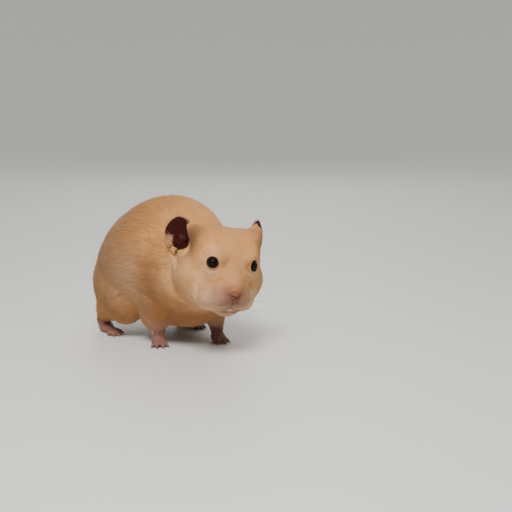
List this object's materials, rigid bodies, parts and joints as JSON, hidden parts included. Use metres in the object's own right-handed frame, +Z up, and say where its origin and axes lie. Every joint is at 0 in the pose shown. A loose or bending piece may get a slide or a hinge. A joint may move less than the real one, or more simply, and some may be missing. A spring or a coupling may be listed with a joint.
{
  "type": "syrian hamster model",
  "caption": "Life-size still model of a cream Syrian hamster on all fours, head turned to its right, with cupped dark ears, round eyes, toed feet and a stub tail.",
  "frame": {"origin": "on the floor, under the middle of the model's bounding box", "axes": "+X forwards along the trunk, +Y to the animal's left, +Z up"},
  "size_m": [0.1198, 0.0654, 0.0736],
  "materials": {
    "coat": "soft plush cream to apricot fur",
    "pale_coat": "short pale fur",
    "skin": "pinkish bare skin with sparse short hair",
    "ear_skin": "dark brown-grey thin skin with down",
    "eye": "wet gloss black"
  },
  "bodies": {
    "root": {"head": "coat", "neck": "coat", "trunk": "coat", "hindleg_left": "coat", "hindleg_right": "coat", "foreleg_left": "pale_coat", "foreleg_right": "pale_coat", "forefoot_left": "skin", "forefoot_right": "skin", "hindfoot_left": "skin", "hindfoot_right": "skin", "tail": "skin", "nose": "skin", "ear_left": "ear_skin", "ear_right": "ear_skin", "eye_left": "eye", "eye_right": "eye"}
  },
  "joints": []
}
